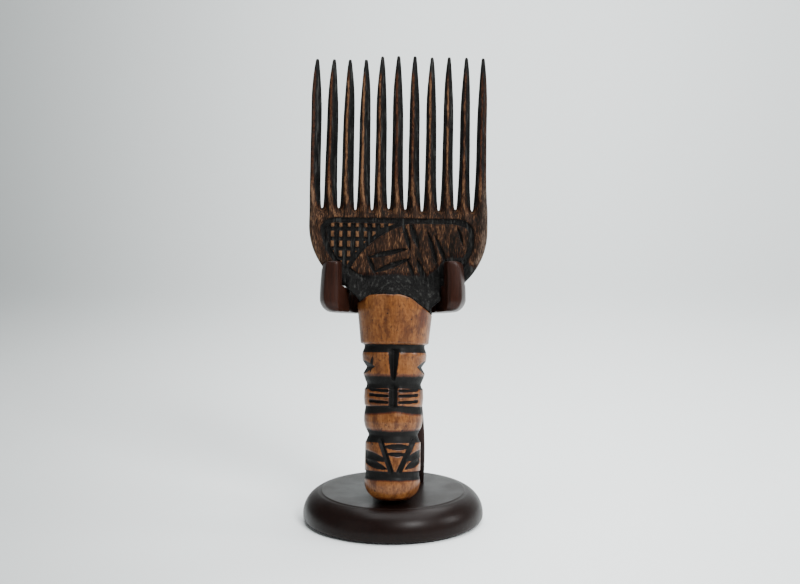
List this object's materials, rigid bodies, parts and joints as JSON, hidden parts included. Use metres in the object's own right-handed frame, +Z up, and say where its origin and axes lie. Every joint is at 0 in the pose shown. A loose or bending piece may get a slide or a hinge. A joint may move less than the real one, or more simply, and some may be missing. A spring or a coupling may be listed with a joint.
{
  "type": "hair comb on display stand",
  "caption": "Carved wooden hair comb with long bevelled teeth and a turned, carved handle, leaning in a round wooden stand from which it lifts out.",
  "frame": {"origin": "centre of the underside of the stand's felt pad", "axes": "+Z up, -Y towards the viewer of the carved front, +X to that viewer's right"},
  "size_m": [0.0911, 0.09, 0.23],
  "materials": {
    "stand_wood": "dark brown satin lacquer",
    "felt": "black felt",
    "screw_steel": "zinc plated",
    "handle_wood": "waxed light wood with scorched grooves",
    "plate_wood": "coarse dark wood, waxed and scorched"
  },
  "bodies": {
    "stand": {"base_disc": "stand_wood", "base_pad": "felt", "post": "stand_wood", "cradle": "stand_wood", "base_screws": "screw_steel", "cradle_screws": "screw_steel"},
    "comb": {"handle": "handle_wood", "comb_plate": "plate_wood"}
  },
  "joints": [
    {"name": "comb_lift", "type": "slide", "parent": "stand", "child": "comb", "axis": [0.0175, 0.1736, 0.9847], "range_m": [0, 0.13]}
  ]
}
